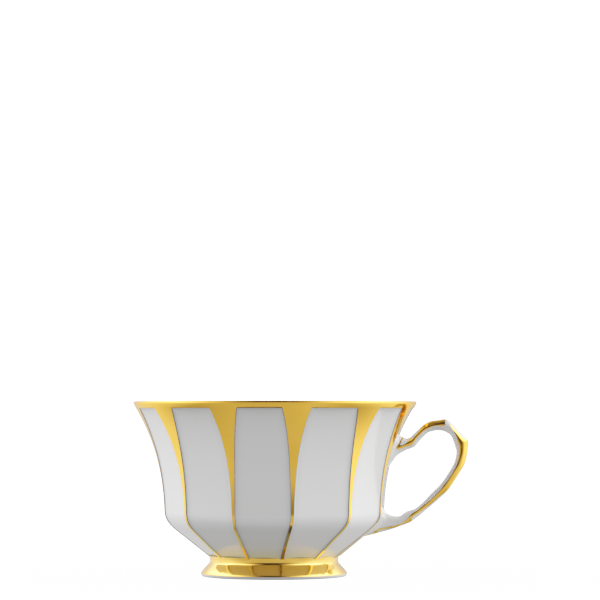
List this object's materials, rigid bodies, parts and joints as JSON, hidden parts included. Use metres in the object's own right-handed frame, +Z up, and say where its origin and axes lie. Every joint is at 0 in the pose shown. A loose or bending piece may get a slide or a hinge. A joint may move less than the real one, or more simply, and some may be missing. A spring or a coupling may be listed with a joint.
{
  "type": "teacup",
  "caption": "Footed porcelain teacup, twelve-sided and flared, with gilded rim, corners, foot and ear-shaped handle.",
  "frame": {"origin": "middle of the footprint's box on the table plane; the cup's own upright axis stands at x = -9.05 mm, y = 0", "axes": "+Z up, +X towards the handle, which lies in the plane y = 0"},
  "size_m": [0.1182, 0.1, 0.0615],
  "materials": {
    "porcelain": "white, glossy clear glaze",
    "gold": "fired bright gold, polished"
  },
  "bodies": {
    "root": {"cup_body": "porcelain", "foot_ring": "porcelain", "handle": "porcelain", "rim_gold": "gold", "foot_gold": "gold", "corner_gold_01": "gold", "corner_gold_02": "gold", "corner_gold_03": "gold", "corner_gold_04": "gold", "corner_gold_05": "gold", "corner_gold_06": "gold", "corner_gold_07": "gold", "corner_gold_08": "gold", "corner_gold_09": "gold", "corner_gold_10": "gold", "corner_gold_11": "gold", "corner_gold_12": "gold", "handle_gold_thumb": "gold", "handle_gold_spine": "gold", "handle_gold_knot": "gold", "handle_gold_upper_left": "gold", "handle_gold_upper_right": "gold", "handle_gold_lower_left": "gold", "handle_gold_lower_right": "gold", "handle_gold_root_left": "gold", "handle_gold_root_right": "gold"}
  },
  "joints": []
}
